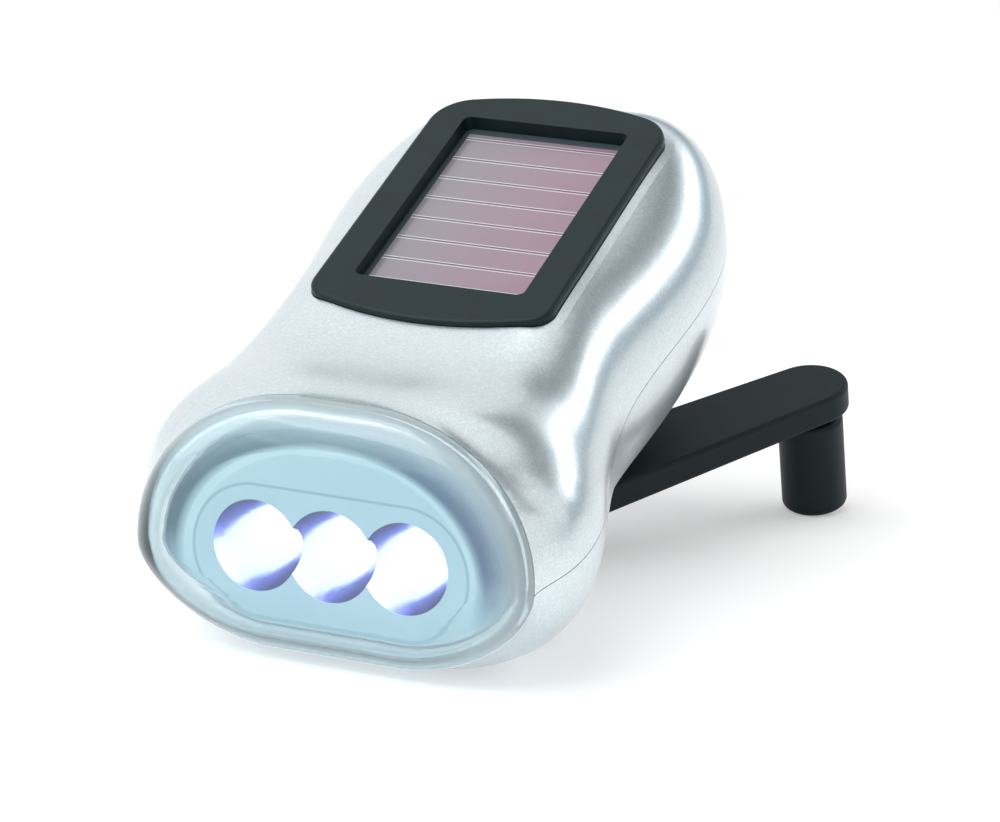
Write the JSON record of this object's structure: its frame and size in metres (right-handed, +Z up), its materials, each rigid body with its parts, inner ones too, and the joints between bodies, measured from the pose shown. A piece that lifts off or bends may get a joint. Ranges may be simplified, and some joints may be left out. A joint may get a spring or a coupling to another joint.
{
  "type": "hand-crank flashlight",
  "caption": "Palm-size flashlight with an oval lensed nose, a solar panel in a raised bezel on top and a crank arm with a turning knob underneath that drives a geared dynamo.",
  "frame": {"origin": "on the face of the flat foot under the nose, on the centre line; the solar panel's middle is 42 mm behind it", "axes": "the beam points to -Y, the tail is at +Y, +Z is up and parallel to the crank's axis, +X is on the side where the crank arm is parked"},
  "size_m": [0.0761, 0.1147, 0.0735],
  "materials": {
    "silver": "satin",
    "black": "matte",
    "bezel_black": "satin",
    "cell": "gloss",
    "clear": "gloss",
    "mirror_plating": "gloss",
    "led_clear": "gloss",
    "board_green": "satin",
    "chip_black": "matte",
    "cell_wrap": "gloss",
    "steel": "brushed",
    "copper": "satin",
    "white_nylon": "satin",
    "grey_plastic": "matte"
  },
  "bodies": {
    "torch": {"upper_shell": "silver", "lower_shell": "silver", "panel_bezel": "bezel_black", "solar_panel": "cell", "front_lens": "clear", "reflector": "mirror_plating", "led_left": "led_clear", "led_middle": "led_clear", "led_right": "led_clear", "led_board": "board_green", "circuit_board": "board_green", "board_chip": "chip_black", "board_capacitor": "chip_black", "board_coil": "copper", "tact_switch": "chip_black", "battery_pack": "cell_wrap", "dynamo_case": "steel", "dynamo_coil": "copper", "gear_axle_1": "steel", "gear_axle_2": "steel", "gear_plate": "grey_plastic", "plate_screw_1": "steel", "plate_screw_2": "steel", "plate_screw_3": "steel", "crank_bush": "white_nylon", "case_screw_1": "steel", "case_screw_2": "steel", "case_screw_3": "steel", "case_screw_4": "steel"},
    "crank": {"crank_shaft": "steel", "crank_gear": "white_nylon", "crank_arm": "black", "crank_screw": "steel", "knob_pin": "steel"},
    "knob": {"crank_knob": "black"},
    "idler_1": {"compound_gear_1": "white_nylon"},
    "idler_2": {"compound_gear_2": "white_nylon"},
    "rotor": {"dynamo_rotor": "steel"},
    "button": {"power_button": "black"}
  },
  "joints": [
    {"name": "crank_turn", "type": "hinge", "parent": "torch", "child": "crank", "pos_m": [0, 0.036, 0], "axis": [0, 0, 1], "continuous": true},
    {"name": "knob_spin", "type": "hinge", "parent": "crank", "child": "knob", "pos_m": [0.03426, 0.0828, 0], "axis": [0, 0, 1], "continuous": true},
    {"name": "idler_1_spin", "type": "hinge", "parent": "torch", "child": "idler_1", "pos_m": [0, 0.0531, 0], "axis": [0, 0, 1], "continuous": true},
    {"name": "idler_2_spin", "type": "hinge", "parent": "torch", "child": "idler_2", "pos_m": [-0.0095, 0.06392, 0], "axis": [0, 0, 1], "continuous": true},
    {"name": "rotor_spin", "type": "hinge", "parent": "torch", "child": "rotor", "pos_m": [0.0025, 0.06392, 0], "axis": [0, 0, 1], "continuous": true},
    {"name": "button_press", "type": "slide", "parent": "torch", "child": "button", "axis": [0, -1, 0], "range_m": [0, 0.001], "stiffness_N_per_m": 800}
  ],
  "couplings": [
    {"joint": "idler_1_spin", "follows": "crank_turn", "ratio": -3.75},
    {"joint": "idler_2_spin", "follows": "crank_turn", "ratio": 11.25},
    {"joint": "rotor_spin", "follows": "crank_turn", "ratio": -33.75}
  ]
}
